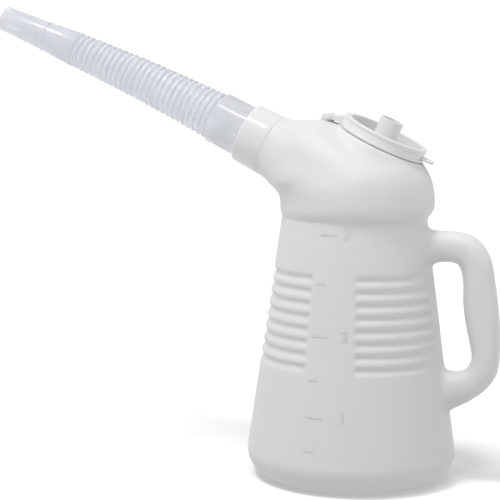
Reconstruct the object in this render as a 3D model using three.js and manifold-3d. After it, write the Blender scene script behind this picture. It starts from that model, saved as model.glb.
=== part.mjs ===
// A three litre oil jug in natural plastic: one blown shell with a hollow handle and a fill
// mouth, a hinged dished lid, and a corrugated pouring hose held on the neck by a collar.
// Millimetres, +Z up. The origin is on the jug's axis in the plane it stands on, +X points to
// the handle and the hose rises towards -X. The scale is on the -Y side.
import * as THREE from "three";
import { mergeVertices } from "three/addons/utils/BufferGeometryUtils.js";
import Module from "manifold-3d";

const wasm = await Module();
wasm.setup();

// Shell: wall, cone and foot
const WALL = 1.8;
const FOOT_RADIUS = 85;
const CONE_TAPER = 0.1384;
const CORNER_RADIUS = 21.5;
const CONE_TOP = 206.5;
const FLOOR_THICKNESS = 2.2;

// Stiffening grooves round the cone, left out on the scale strip and beside the handle
const GROOVE_COUNT = 8;
const GROOVE_PITCH = 9.54;
const GROOVE_TOP = 162.8;
const GROOVE_HALF_WIDTH = 3.6;
const GROOVE_DEPTH = 1.4;
const STRIP_HALF_ANGLE = 14.5;
const STRIP_FADE = 2.5;
const HANDLE_HALF_ANGLE = 9;
const HANDLE_FADE = 6;

// Shoulder that overhangs the cone
const SHOULDER_OVERHANG = 3.9;
const SHOULDER_RISE = 10.5;
const SHOULDER_OFFSET = 2.3;
// The shoulder's rounded step: heights from the cone's top and shares of the overhang
const SHOULDER_STEP = [[-1, 0], [0.6, 0.2], [3.2, 0.61], [6.6, 0.89]];
// Widths of the crown's sections, as shares of the shoulder's radius and of the neck's
const CROWN_WIDTHS = [1, 0.99, 0.964, 0.918, 0.852, 0.762, 0.656];
const NECK_WIDTHS = [1.375, 1.146, 1];
// Places between the shoulder and the mouth, and between the neck and the hinge
const FLANK_PLACES = [[0.113, 0.376], [0.414, 0.736]];
const NAPE_PLACES = [0.516, 0.19];
const THROAT_BULGE = 0.5;
const THROAT_RISE = 12.5;
const CROWN_RISE = 3;

// Spout seat: the collar's back edge, the slope of the pouring axis and the neck
const SPOUT_X = -68.9;
const SPOUT_Z = 259.5;
const SPOUT_SLOPE = 25.5;
const NECK_TUBE_RADIUS = 21.8;
const NECK_TUBE_LENGTH = 15;
const NECK_WALL = 2.7;
const NECK_BORE = NECK_TUBE_RADIUS - NECK_WALL;
const FIT_GAP = 0.3;
const COLLAR_WALL = 2.7;
const NECK_RADIUS = NECK_TUBE_RADIUS + FIT_GAP + COLLAR_WALL;

// Fill mouth: the plane of the lid's rim, its centre and tilt
const MOUTH_X = 25;
const MOUTH_Z = 272;
const MOUTH_TILT = 25;
const MOUTH_BORE = 31.2;
const MOUTH_WALL = 1.7;
const MOUTH_SKIRT_ROOM = 0.9;
const BOSS_HEIGHT = 12;
const BOSS_FLARE = 8;

// Lid: rim, skirt, dish, knob and thumb tab
const LID_RADIUS = 34.6;
const LID_WALL = 1.3;
const LID_HEIGHT = 9.8;
const LID_FIT = 0.4;
const LID_BEAD = 0.4;
const DISH_DEPTH = 8;
const DISH_TAPER = 2.2;
const KNOB_RADIUS = 9.3;
const KNOB_RISE = 10;
const KNOB_WALL = 1.4;
const TAB_REACH = 8.8;
const TAB_WIDTH = 12;
const TAB_THICKNESS = 2;
const TAB_DROP = 7.2;
const TAB_ROUND = 4;

// Hinge: pivot, ears, lug and pin
const PIVOT_X = -20.5;
const PIVOT_RISE = 3.2;
const EAR_RADIUS = 2.7;
const EAR_WIDTH = 3;
const LUG_WIDTH = 5;
const LUG_REACH = 4.6;
const HINGE_GAP = 0.35;
const PIN_RADIUS = 1.4;
const PIN_GAP = 0.3;
const PIN_HEAD_RADIUS = 2.2;
const PIN_HEAD_LENGTH = 0.9;

// Pouring hose, from the collar's back edge outwards
const COLLAR_LENGTH = 23;
const COLLAR_LIP = 3.2;
const COLLAR_TAPER = 0.6;
const COLLAR_ROUND = 3;
const PACKING_THICKNESS = 1.5;
const HOSE_WALL = 1.2;
const FLANGE_THICKNESS = 2;
const FLANGE_STEP = 1;
const CUFF_RADIUS = NECK_TUBE_RADIUS - FLANGE_STEP;
const CUFF_LENGTH = 27.5;
const BELLOWS_COUNT = 26;
const BELLOWS_PITCH = 4.98;
const BELLOWS_STEP = 1.3;
const BELLOWS_START_RADIUS = CUFF_RADIUS - BELLOWS_STEP;
const BELLOWS_END_RADIUS = 14.3;
const BELLOWS_DEPTH = 1.7;
const HOSE_DROOP = 4;
const TAPER_LENGTH = 32;
const TAPER_END_RADIUS = 11.9;
const TIP_RING_RADIUS = 12.6;
const TIP_RING_LENGTH = 2;
const TIP_LENGTH = 40.5;
const TIP_RADIUS = 10;

// Scale marks: millimetres above the foot, each with its length round the cone
const MARK_HEIGHT = 1.1;
const MARK_RELIEF = 0.3;
const MARK_MARGIN = 2;
const SHORT_MARK = 7.5;
const LONG_MARK = 13.5;
const HALF_LITRE_MARKS = [34.7, 87.5, 159];
const LITRE_MARKS = [59.8, 120.3, 196];

// How far a cut runs past a face, and the smallest step between two rings at one place
const OVERRUN = 5;
const LEDGE = 0.01;

const toRadians = THREE.MathUtils.degToRad;
const across = new THREE.Vector3(0, 1, 0);

// Radius of the plain cone at a height
function coneRadius(z) {
  return FOOT_RADIUS - CONE_TAPER * z;
}

// A closed solid whose skin joins rings of equally many points, with a fan at either end
function ringSolid(rings) {
  const count = rings[0].length;
  const points = rings.flat();
  const index = [];
  for (let i = 0; i + 1 < rings.length; i += 1) {
    for (let j = 0; j < count; j += 1) {
      const a = i * count + j;
      const b = i * count + ((j + 1) % count);
      index.push(a, b, b + count, a, b + count, a + count);
    }
  }
  const centre = (ring) => ring.reduce((sum, p) => sum.add(p), new THREE.Vector3())
    .divideScalar(count);
  const last = (rings.length - 1) * count;
  points.push(centre(rings[0]), centre(rings[rings.length - 1]));
  for (let j = 0; j < count; j += 1) {
    const k = (j + 1) % count;
    index.push(points.length - 2, k, j, points.length - 1, last + j, last + k);
  }
  const geometry = new THREE.BufferGeometry().setFromPoints(points);
  geometry.setIndex(index);
  return toManifold(geometry);
}

// A three.js geometry as a solid for cutting and joining
function toManifold(geometry) {
  const bare = geometry.clone();
  bare.deleteAttribute("normal");
  bare.deleteAttribute("uv");
  const merged = mergeVertices(bare, 1e-4);
  const mesh = new wasm.Mesh({
    numProp: 3,
    vertProperties: new Float32Array(merged.attributes.position.array),
    triVerts: new Uint32Array(merged.index.array),
  });
  const solid = new wasm.Manifold(mesh);
  return solid.volume() < 0 ? new wasm.Manifold(flipped(mesh)) : solid;
}

// The same mesh with its faces turned round
function flipped(mesh) {
  const triVerts = mesh.triVerts.slice();
  for (let i = 0; i < triVerts.length; i += 3) {
    [triVerts[i], triVerts[i + 1]] = [triVerts[i + 1], triVerts[i]];
  }
  return new wasm.Mesh({ numProp: 3, vertProperties: mesh.vertProperties, triVerts });
}

// A finished solid as a three.js geometry
function toGeometry(solid) {
  const mesh = solid.getMesh();
  const geometry = new THREE.BufferGeometry();
  geometry.setAttribute("position", new THREE.BufferAttribute(mesh.vertProperties, 3));
  geometry.setIndex(new THREE.BufferAttribute(mesh.triVerts, 1));
  return geometry;
}

// A solid turned about the local Z axis from a closed outline of radius and height pairs, and
// shaped further before it is placed
function turned(outline, segments, place = new THREE.Matrix4(), shaped = (lathe) => lathe) {
  const profile = outline.map(([r, z]) => new THREE.Vector2(r, z));
  if (profile[0].x > 0 || profile[profile.length - 1].x > 0) profile.push(profile[0].clone());
  const geometry = new THREE.LatheGeometry(profile, segments);
  geometry.rotateX(Math.PI / 2);
  return toManifold(shaped(geometry).applyMatrix4(place));
}

// A flat outline in the XZ plane given thickness across Y, from low to high
function plate(shape, low, high, place = new THREE.Matrix4()) {
  const geometry = new THREE.ExtrudeGeometry(shape, {
    depth: high - low, bevelEnabled: false, curveSegments: 10,
  });
  geometry.rotateX(Math.PI / 2);
  geometry.translate(0, high, 0);
  return toManifold(geometry.applyMatrix4(place));
}

// Frames: the mouth's own frame has its Z along the lid's axis, the spout's along the hose
const mouthFrame = new THREE.Matrix4().makeRotationY(toRadians(MOUTH_TILT))
  .setPosition(MOUTH_X, 0, MOUTH_Z);
const spoutFrame = new THREE.Matrix4().makeRotationY(toRadians(SPOUT_SLOPE - 90))
  .setPosition(SPOUT_X, 0, SPOUT_Z);

// Angles of the shell's columns: even steps, with extra ones where grooves start and stop
const columnAngles = (() => {
  const list = [];
  for (let i = 0; i < 36; i += 1) list.push(i * 10 - 180);
  const strip = [STRIP_HALF_ANGLE, STRIP_HALF_ANGLE + STRIP_FADE];
  const grip = [HANDLE_HALF_ANGLE, HANDLE_HALF_ANGLE + HANDLE_FADE];
  for (const side of [-1, 1]) {
    list.push(...strip.map((angle) => -90 + side * angle), ...grip.map((angle) => side * angle));
  }
  const sorted = list.sort((a, b) => a - b);
  return sorted.filter((angle, i) => i === 0 || angle - sorted[i - 1] > 1.2);
})();

// How deep the grooves are at an angle round the jug, from 0 to 1
function grooveMask(degrees) {
  const fromStrip = (Math.abs(degrees + 90) - STRIP_HALF_ANGLE) / STRIP_FADE;
  const fromHandle = (Math.abs(degrees) - HANDLE_HALF_ANGLE) / HANDLE_FADE;
  return THREE.MathUtils.clamp(Math.min(fromStrip, fromHandle), 0, 1);
}

// One level ring of the cone, cut in by depth where the grooves run
function coneRing(z, radius, depth = 0) {
  return columnAngles.map((degrees) => {
    const r = radius - depth * grooveMask(degrees);
    const angle = toRadians(degrees);
    return new THREE.Vector3(r * Math.cos(angle), r * Math.sin(angle), z);
  });
}

// One ring of the shoulder's step, which grows and moves off the axis with its share
function stepRing(rise, share, inset) {
  const radius = coneRadius(CONE_TOP) + share * SHOULDER_OVERHANG - inset;
  return coneRing(CONE_TOP + rise, radius)
    .map((point) => point.setX(point.x + share * SHOULDER_OFFSET));
}

// One slanted ring between a point on the throat side and one on the crown side
function crownRing([lowX, lowZ], [highX, highZ], halfWidth, fullness, inset) {
  const low = new THREE.Vector3(lowX, 0, lowZ);
  const high = new THREE.Vector3(highX, 0, highZ);
  const middle = low.clone().add(high).divideScalar(2);
  const reach = high.clone().sub(low);
  const half = reach.length() / 2 - inset;
  reach.normalize();
  const bulge = (value) => Math.sign(value) * Math.abs(value) ** (2 / fullness);
  return columnAngles.map((degrees) => {
    const angle = toRadians(degrees);
    return middle.clone()
      .addScaledVector(reach, half * bulge(Math.cos(angle)))
      .addScaledVector(across, (halfWidth - inset) * bulge(Math.sin(angle)));
  });
}

// A point on the spout's axis, moved sideways in the jug's middle plane
function spoutPoint(along, aside) {
  const point = new THREE.Vector3(aside, 0, along).applyMatrix4(spoutFrame);
  return [point.x, point.z];
}

// A round ring on the spout's axis
function spoutRing(along, radius) {
  return crownRing(spoutPoint(along, -radius), spoutPoint(along, radius), radius, 2, 0);
}

// Crown of the jug: slanted rings that fan from the level shoulder to the neck
function crownRings(inset) {
  const shoulder = coneRadius(CONE_TOP) + SHOULDER_OVERHANG;
  const left = SHOULDER_OFFSET - shoulder;
  const right = SHOULDER_OFFSET + shoulder;
  const brim = CONE_TOP + SHOULDER_RISE;
  const rimDrop = LID_HEIGHT + MOUTH_SKIRT_ROOM;
  const slant = (along) => {
    const point = new THREE.Vector3(along, 0, -rimDrop).applyMatrix4(mouthFrame);
    return [point.x, point.z];
  };
  const top = slant(-LID_RADIUS)[1] + CROWN_RISE;
  const neckTop = spoutPoint(0, NECK_RADIUS);
  const neckLow = spoutPoint(0, -NECK_RADIUS);
  const throat = (share) => {
    const bend = [left - THROAT_BULGE, brim + THROAT_RISE];
    const keep = 1 - share;
    return [0, 1].map((k) => keep * keep * [left, brim][k] + 2 * keep * share * bend[k]
      + share * share * neckLow[k]);
  };
  const flankTop = slant(LID_RADIUS * 0.91);
  const flank = ([inward, upward]) => [
    THREE.MathUtils.lerp(right, flankTop[0], inward),
    THREE.MathUtils.lerp(brim, flankTop[1], upward),
  ];
  const nape = (share) => [THREE.MathUtils.lerp(neckTop[0], PIVOT_X - 2, share), top];
  const crown = CROWN_WIDTHS.map((share) => share * shoulder);
  const neck = NECK_WIDTHS.map((share) => share * NECK_RADIUS);
  return [
    crownRing(throat(0), [right, brim], crown[0], 2, inset),
    crownRing(throat(0.16), flank(FLANK_PLACES[0]), crown[1], 2.05, inset),
    crownRing(throat(0.28), flank(FLANK_PLACES[1]), crown[2], 2.15, inset),
    crownRing(throat(0.4), flankTop, crown[3], 2.3, inset),
    crownRing(throat(0.5), slant(LID_RADIUS * 0.2), crown[4], 2.5, inset),
    crownRing(throat(0.6), slant(-LID_RADIUS * 0.6), crown[5], 2.5, inset),
    crownRing(throat(0.7), nape(1), crown[6], 2.4, inset),
    crownRing(throat(0.8), nape(NAPE_PLACES[0]), neck[0], 2.2, inset),
    crownRing(throat(0.9), nape(NAPE_PLACES[1]), neck[1], 2.05, inset),
    crownRing(neckLow, neckTop, neck[2], 2, inset),
  ];
}

// Height of the shell's top behind the fill mouth, where the lug stands
const crownTop = new THREE.Vector3(-LID_RADIUS, 0, -LID_HEIGHT - MOUTH_SKIRT_ROOM)
  .applyMatrix4(mouthFrame).z + CROWN_RISE;
const pivot = new THREE.Vector3(PIVOT_X, 0, crownTop + PIVOT_RISE);

// Outside of the shell without its handle and mouth
function shellOutside() {
  const rings = [];
  const cornerTop = coneRadius(CORNER_RADIUS);
  for (const degrees of [0, 22, 45, 67, 90]) {
    const angle = toRadians(degrees);
    rings.push(coneRing(
      CORNER_RADIUS * (1 - Math.cos(angle)),
      cornerTop - CORNER_RADIUS * (1 - Math.sin(angle)),
    ));
  }
  for (let i = GROOVE_COUNT - 1; i >= 0; i -= 1) {
    const z = GROOVE_TOP - i * GROOVE_PITCH;
    rings.push(coneRing(z - GROOVE_HALF_WIDTH, coneRadius(z - GROOVE_HALF_WIDTH)));
    rings.push(coneRing(z, coneRadius(z), GROOVE_DEPTH));
    rings.push(coneRing(z + GROOVE_HALF_WIDTH, coneRadius(z + GROOVE_HALF_WIDTH)));
  }
  for (const [rise, share] of SHOULDER_STEP) rings.push(stepRing(rise, share, 0));
  rings.push(...crownRings(0));
  rings.push(spoutRing(LEDGE, NECK_TUBE_RADIUS), spoutRing(NECK_TUBE_LENGTH, NECK_TUBE_RADIUS));
  return ringSolid(rings);
}

// Inside of the shell, which runs out through the neck
function shellInside() {
  const cornerTop = coneRadius(CORNER_RADIUS) - WALL;
  const rings = [];
  for (const degrees of [0, 30, 60, 90]) {
    const angle = toRadians(degrees);
    const round = CORNER_RADIUS - WALL;
    rings.push(coneRing(
      FLOOR_THICKNESS + round * (1 - Math.cos(angle)),
      cornerTop - round * (1 - Math.sin(angle)),
    ));
  }
  for (let i = GROOVE_COUNT - 1; i >= 0; i -= 1) {
    const z = GROOVE_TOP - i * GROOVE_PITCH;
    rings.push(coneRing(z - GROOVE_PITCH / 2, coneRadius(z - GROOVE_PITCH / 2) - WALL));
    rings.push(coneRing(z, coneRadius(z) - WALL, GROOVE_DEPTH));
  }
  rings.push(coneRing(GROOVE_TOP + GROOVE_PITCH / 2, coneRadius(GROOVE_TOP) - WALL));
  for (const [rise, share] of [SHOULDER_STEP[1], SHOULDER_STEP[3]]) {
    rings.push(stepRing(rise, share, WALL));
  }
  rings.push(...crownRings(WALL).slice(0, -1));
  rings.push(spoutRing(-WALL, NECK_BORE), spoutRing(NECK_TUBE_LENGTH + OVERRUN, NECK_BORE));
  return ringSolid(rings);
}

// Handle: places on the middle line, each by its distance from the cone, its height and the
// half thickness in the plane of the handle
const HANDLE_HALF_WIDTH = 12.5;
const HANDLE_FULLNESS = 2.3;
const HANDLE_PLACES = [
  [-15.7, 183, 16.5], [4.6, 184.4, 13], [17.7, 185, 12], [28.9, 182.3, 12.2],
  [34.9, 173, 12], [36.1, 159, 12], [35.4, 144, 13.1], [35.3, 129, 12.9],
  [35.3, 114, 11.7], [34.7, 102, 10.6], [31.9, 92, 11], [25.8, 83.6, 11],
  [17.3, 78, 11.8], [7.8, 74.5, 14.4], [-11.3, 70, 19],
];

// The handle as a swept tube; its ends reach into the shell
function handleTube(inset, sides, steps) {
  const middle = new THREE.CatmullRomCurve3(
    HANDLE_PLACES.map(([out, z]) => new THREE.Vector3(coneRadius(z) + out, 0, z)),
    false, "centripetal",
  );
  const thickness = new THREE.CatmullRomCurve3(
    HANDLE_PLACES.map(([, , half], i) => new THREE.Vector3(i, half, 0)), false, "catmullrom",
  );
  const rings = [];
  for (let i = 0; i <= steps; i += 1) {
    const share = i / steps;
    const centre = middle.getPoint(share);
    const tangent = middle.getTangent(share);
    const outward = new THREE.Vector3().crossVectors(tangent, across);
    const half = thickness.getPoint(share).y - inset;
    const ring = [];
    for (let j = 0; j < sides; j += 1) {
      const angle = (j / sides) * 2 * Math.PI;
      const bulge = (value) => Math.sign(value) * Math.abs(value) ** (2 / HANDLE_FULLNESS);
      ring.push(centre.clone()
        .addScaledVector(outward, half * bulge(Math.cos(angle)))
        .addScaledVector(across, (HANDLE_HALF_WIDTH - inset) * bulge(Math.sin(angle))));
    }
    rings.push(ring);
  }
  return ringSolid(rings);
}

// Boss and ring of the fill mouth, and the space inside them
function mouthOutside() {
  const top = -LID_HEIGHT - MOUTH_SKIRT_ROOM;
  const ring = MOUTH_BORE + MOUTH_WALL;
  const ringTop = -LID_WALL - 2 * FIT_GAP;
  return turned([
    [0, top - BOSS_HEIGHT], [LID_RADIUS + BOSS_FLARE, top - BOSS_HEIGHT],
    [LID_RADIUS + 1.5, top - 2], [LID_RADIUS - 0.4, top], [ring, top],
    [ring, ringTop - 0.5], [ring - 0.5, ringTop], [0, ringTop],
  ], 40, mouthFrame);
}

function mouthInside() {
  const top = -LID_HEIGHT - MOUTH_SKIRT_ROOM;
  return turned([
    [0, top - BOSS_HEIGHT - OVERRUN], [LID_RADIUS + BOSS_FLARE / 2, top - BOSS_HEIGHT - WALL],
    [MOUTH_BORE, top - WALL], [MOUTH_BORE, OVERRUN], [0, OVERRUN],
  ], 40, mouthFrame);
}

// Lug that stands on the crown for the lid's hinge
function lugShape() {
  const shape = new THREE.Shape();
  const top = pivot.z + EAR_RADIUS - 0.2;
  const backX = pivot.x - LUG_REACH - EAR_RADIUS;
  shape.moveTo(pivot.x + EAR_RADIUS, pivot.z - PIVOT_RISE - 1.5);
  shape.lineTo(pivot.x + EAR_RADIUS, pivot.z);
  shape.absarc(pivot.x, pivot.z, EAR_RADIUS, 0, Math.PI / 2, false);
  shape.lineTo(pivot.x - 1.2, pivot.z + EAR_RADIUS - 0.9);
  shape.lineTo(pivot.x - 2.4, top);
  shape.lineTo(backX + 2.2, top);
  shape.lineTo(backX + 0.8, top - 1.2);
  shape.lineTo(backX - 0.6, pivot.z - PIVOT_RISE - 1.5);
  shape.closePath();
  const hole = new THREE.Path();
  hole.absarc(pivot.x, pivot.z, PIN_RADIUS + PIN_GAP, 0, 2 * Math.PI, true);
  shape.holes.push(hole);
  return shape;
}

// One raised mark of the scale, curved with the cone
function scaleMark(z, length) {
  const start = toRadians(-90 - STRIP_HALF_ANGLE + MARK_MARGIN);
  const steps = 4;
  const rings = [];
  for (let i = 0; i <= steps; i += 1) {
    const angle = start + (length / coneRadius(z)) * (i / steps);
    const corner = (radius, height) => new THREE.Vector3(
      radius * Math.cos(angle), radius * Math.sin(angle), height,
    );
    const low = z - MARK_HEIGHT / 2;
    const high = z + MARK_HEIGHT / 2;
    rings.push([
      corner(coneRadius(low) - 1, low), corner(coneRadius(low) + MARK_RELIEF, low),
      corner(coneRadius(high) + MARK_RELIEF, high), corner(coneRadius(high) - 1, high),
    ]);
  }
  return ringSolid(rings);
}

// The blown shell, all in one piece
function jugBody() {
  let solid = shellOutside().add(handleTube(0, 16, 26)).add(mouthOutside());
  solid = solid.add(plate(lugShape(), -LUG_WIDTH / 2, LUG_WIDTH / 2));
  solid = solid.subtract(shellInside().add(handleTube(WALL, 10, 18)).add(mouthInside()));
  for (const z of HALF_LITRE_MARKS) solid = solid.add(scaleMark(z, SHORT_MARK));
  for (const z of LITRE_MARKS) solid = solid.add(scaleMark(z, LONG_MARK));
  return toGeometry(solid);
}

// Lid: skirt over the mouth's ring, dish inside it, cup-shaped knob, tab and hinge ears
function lid() {
  const skirtIn = MOUTH_BORE + MOUTH_WALL + LID_FIT;
  const dishOut = MOUTH_BORE - LID_FIT;
  const dishIn = dishOut - LID_WALL;
  const floor = -DISH_DEPTH;
  const knobIn = KNOB_RADIUS - KNOB_WALL;
  let solid = turned([
    [0, floor - LID_WALL], [dishOut - DISH_TAPER - 1, floor - LID_WALL],
    [dishOut - DISH_TAPER, floor],
    [dishOut, -LID_WALL], [skirtIn, -LID_WALL], [skirtIn, -LID_HEIGHT],
    [LID_RADIUS + LID_BEAD, -LID_HEIGHT], [LID_RADIUS + LID_BEAD, -LID_HEIGHT + 2],
    [LID_RADIUS - 0.3, -LID_HEIGHT + 2.6], [LID_RADIUS - 0.3, -2.6], [LID_RADIUS, -2],
    [LID_RADIUS, -0.6], [LID_RADIUS - 0.6, 0], [dishIn + 0.5, 0], [dishIn, -0.5],
    [dishIn - DISH_TAPER, floor + 1], [dishIn - DISH_TAPER - 1, floor], [KNOB_RADIUS - 0.3, floor],
    [KNOB_RADIUS, KNOB_RISE - 0.4], [KNOB_RADIUS - 0.4, KNOB_RISE], [knobIn, KNOB_RISE],
    [knobIn - 0.4, floor], [0, floor],
  ], 40, mouthFrame);
  const tabSlab = new THREE.Shape();
  const tabEnd = LID_RADIUS + TAB_REACH;
  tabSlab.moveTo(LID_RADIUS - 0.8, -TAB_WIDTH / 2);
  tabSlab.lineTo(tabEnd - TAB_ROUND, -TAB_WIDTH / 2);
  tabSlab.absarc(tabEnd - TAB_ROUND, -TAB_WIDTH / 2 + TAB_ROUND, TAB_ROUND, -Math.PI / 2, 0, false);
  tabSlab.absarc(tabEnd - TAB_ROUND, TAB_WIDTH / 2 - TAB_ROUND, TAB_ROUND, 0, Math.PI / 2, false);
  tabSlab.lineTo(LID_RADIUS - 0.8, TAB_WIDTH / 2);
  tabSlab.closePath();
  const tab = new THREE.ExtrudeGeometry(tabSlab, {
    depth: TAB_THICKNESS, bevelEnabled: false, curveSegments: 6,
  });
  tab.translate(0, 0, -TAB_DROP);
  solid = solid.add(toManifold(tab.applyMatrix4(mouthFrame)));
  const earIn = LUG_WIDTH / 2 + HINGE_GAP;
  const earOut = earIn + EAR_WIDTH;
  solid = solid.add(plate(armShape(true), -earOut, -earIn)).add(plate(armShape(true), earIn, earOut));
  solid = solid.add(plate(armShape(false), -earOut, earOut));
  return toGeometry(solid);
}

// Side outline of the hinge arm: an ear round the pin, or only the bridge between the ears
function armShape(withEar) {
  const local = (x, z) => {
    const point = new THREE.Vector3(x, 0, z).applyMatrix4(mouthFrame);
    return [point.x, point.z];
  };
  const rootTop = local(-LID_RADIUS + 0.6, -2.4);
  const rootLow = local(-LID_RADIUS + 0.6, -LID_HEIGHT + 0.4);
  const shape = new THREE.Shape();
  if (withEar) {
    shape.moveTo(...rootLow);
    shape.lineTo(...rootTop);
    shape.lineTo(pivot.x + EAR_RADIUS + 3, pivot.z + EAR_RADIUS - 1.6);
    shape.lineTo(pivot.x + EAR_RADIUS, pivot.z + EAR_RADIUS - 1.2);
    shape.absarc(pivot.x, pivot.z, EAR_RADIUS, Math.PI / 4, 1.5 * Math.PI, false);
    shape.lineTo(pivot.x + EAR_RADIUS + 1, pivot.z - EAR_RADIUS + 0.2);
    const hole = new THREE.Path();
    hole.absarc(pivot.x, pivot.z, PIN_RADIUS + PIN_GAP, 0, 2 * Math.PI, true);
    shape.holes.push(hole);
  } else {
    const bridge = pivot.x + EAR_RADIUS + HINGE_GAP + 0.4;
    shape.moveTo(...rootLow);
    shape.lineTo(...rootTop);
    shape.lineTo(pivot.x + EAR_RADIUS + 3, pivot.z + EAR_RADIUS - 1.6);
    shape.lineTo(bridge, pivot.z);
    shape.lineTo(bridge, pivot.z - EAR_RADIUS + 0.2);
  }
  shape.closePath();
  return shape;
}

// Hinge pin with a head at either side of the ears
function hingePin() {
  const half = LUG_WIDTH / 2 + HINGE_GAP + EAR_WIDTH + PIN_GAP;
  const geometry = new THREE.LatheGeometry([
    [0, -half - PIN_HEAD_LENGTH], [PIN_HEAD_RADIUS - 0.4, -half - PIN_HEAD_LENGTH],
    [PIN_HEAD_RADIUS, -half - PIN_HEAD_LENGTH + 0.4], [PIN_HEAD_RADIUS, -half],
    [PIN_RADIUS, -half], [PIN_RADIUS, half], [PIN_HEAD_RADIUS, half],
    [PIN_HEAD_RADIUS, half + PIN_HEAD_LENGTH - 0.4],
    [PIN_HEAD_RADIUS - 0.4, half + PIN_HEAD_LENGTH], [0, half + PIN_HEAD_LENGTH],
  ].map(([r, y]) => new THREE.Vector2(r, y)), 16);
  geometry.translate(pivot.x, 0, pivot.z);
  return toGeometry(toManifold(geometry));
}

// Places along the spout's axis, from the collar's back edge outwards
const packingStart = NECK_TUBE_LENGTH + FIT_GAP;
const flangeStart = packingStart + PACKING_THICKNESS + FIT_GAP;
const flangeEnd = flangeStart + FLANGE_THICKNESS;
const lipStart = flangeEnd + FIT_GAP;
const collarBore = NECK_TUBE_RADIUS + FIT_GAP;
const collarEnd = Math.max(COLLAR_LENGTH, lipStart + COLLAR_LIP);
const bellowsStart = collarEnd + CUFF_LENGTH;
const bellowsEnd = bellowsStart + BELLOWS_COUNT * BELLOWS_PITCH;
const ringStart = bellowsEnd + TAPER_LENGTH;
const tipEnd = ringStart + TIP_LENGTH;

// Collar that screws on the neck and traps the hose's flange
function spoutCollar() {
  const back = NECK_RADIUS;
  const front = NECK_RADIUS - COLLAR_TAPER;
  const lip = CUFF_RADIUS + FIT_GAP;
  return toGeometry(turned([
    [collarBore, FIT_GAP], [back, FIT_GAP], [front, collarEnd - COLLAR_ROUND],
    [front - 0.9, collarEnd - 0.9], [front - COLLAR_ROUND + 0.4, collarEnd],
    [lip, collarEnd], [lip, lipStart], [collarBore, lipStart],
  ], 40, spoutFrame));
}

// Soft packing ring between the neck and the hose's flange
function spoutPacking() {
  return toGeometry(turned([
    [NECK_BORE, packingStart], [NECK_TUBE_RADIUS - FIT_GAP, packingStart],
    [NECK_TUBE_RADIUS - FIT_GAP, packingStart + PACKING_THICKNESS],
    [NECK_BORE, packingStart + PACKING_THICKNESS],
  ], 32, spoutFrame));
}

// Bends what lies along the local Z axis: the bellows droop by an even curve, and what comes
// after them runs on straight
function droop(geometry) {
  const angle = toRadians(HOSE_DROOP);
  const radius = (bellowsEnd - bellowsStart) / angle;
  const position = geometry.attributes.position;
  for (let i = 0; i < position.count; i += 1) {
    const x = position.getX(i);
    const z = position.getZ(i);
    const turn = THREE.MathUtils.clamp((z - bellowsStart) / radius, 0, angle);
    const rest = z - bellowsStart - turn * radius;
    position.setX(i, (radius + x) * Math.cos(turn) - radius - rest * Math.sin(turn));
    position.setZ(i, (radius + x) * Math.sin(turn) + bellowsStart + rest * Math.cos(turn));
  }
  return geometry;
}

// Outer radius of the bellows' crests at a share of their length
function crestRadius(share) {
  return THREE.MathUtils.lerp(BELLOWS_START_RADIUS, BELLOWS_END_RADIUS, share);
}

// Pouring hose: flange, plain cuff, bellows, taper, ring and tip, with the same wall inside
function spoutHose() {
  const outside = [
    [NECK_TUBE_RADIUS - FIT_GAP, flangeStart], [NECK_TUBE_RADIUS - FIT_GAP, flangeEnd],
    [CUFF_RADIUS, flangeEnd], [CUFF_RADIUS, bellowsStart - 2],
  ];
  const inside = [[CUFF_RADIUS - HOSE_WALL, flangeStart], [CUFF_RADIUS - HOSE_WALL, bellowsStart - 2]];
  for (let i = 0; i < BELLOWS_COUNT; i += 1) {
    const start = bellowsStart + i * BELLOWS_PITCH;
    const crest = crestRadius((i + 0.5) / BELLOWS_COUNT);
    const valley = crestRadius(i / BELLOWS_COUNT) - BELLOWS_DEPTH;
    outside.push([valley, start], [crest, start + 0.32 * BELLOWS_PITCH]);
    outside.push([crest, start + 0.68 * BELLOWS_PITCH]);
    inside.push([valley - HOSE_WALL, start], [crest - HOSE_WALL, start + 0.5 * BELLOWS_PITCH]);
  }
  const endValley = BELLOWS_END_RADIUS - BELLOWS_DEPTH;
  outside.push(
    [endValley, bellowsEnd], [BELLOWS_END_RADIUS, bellowsEnd + 3],
    [TAPER_END_RADIUS, ringStart - TIP_RING_LENGTH], [TIP_RING_RADIUS, ringStart - TIP_RING_LENGTH],
    [TIP_RING_RADIUS, ringStart], [TAPER_END_RADIUS, ringStart], [TIP_RADIUS, tipEnd],
  );
  inside.push(
    [endValley - HOSE_WALL, bellowsEnd], [BELLOWS_END_RADIUS - HOSE_WALL, bellowsEnd + 3],
    [TAPER_END_RADIUS - HOSE_WALL, ringStart], [TIP_RADIUS - HOSE_WALL, tipEnd],
  );
  return toGeometry(turned([...outside, ...inside.reverse()], 16, spoutFrame, droop));
}

// Finishes
const naturalPlastic = new THREE.MeshStandardMaterial({ color: 0xe6e5df, roughness: 0.55 });
const lidPlastic = new THREE.MeshStandardMaterial({ color: 0xebebf0, roughness: 0.3 });
const hosePlastic = new THREE.MeshStandardMaterial({ color: 0xd5dde4, roughness: 0.25 });
const packingRubber = new THREE.MeshStandardMaterial({ color: 0x3a3a3a, roughness: 0.8 });

const group = new THREE.Group();
for (const [name, geometry, material] of [
  ["jug_body", jugBody(), naturalPlastic],
  ["lid", lid(), lidPlastic],
  ["hinge_pin", hingePin(), lidPlastic],
  ["spout_collar", spoutCollar(), lidPlastic],
  ["spout_packing", spoutPacking(), packingRubber],
  ["spout_hose", spoutHose(), hosePlastic],
]) {
  const mesh = new THREE.Mesh(geometry, material);
  mesh.name = name;
  group.add(mesh);
}

export default group;
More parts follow.
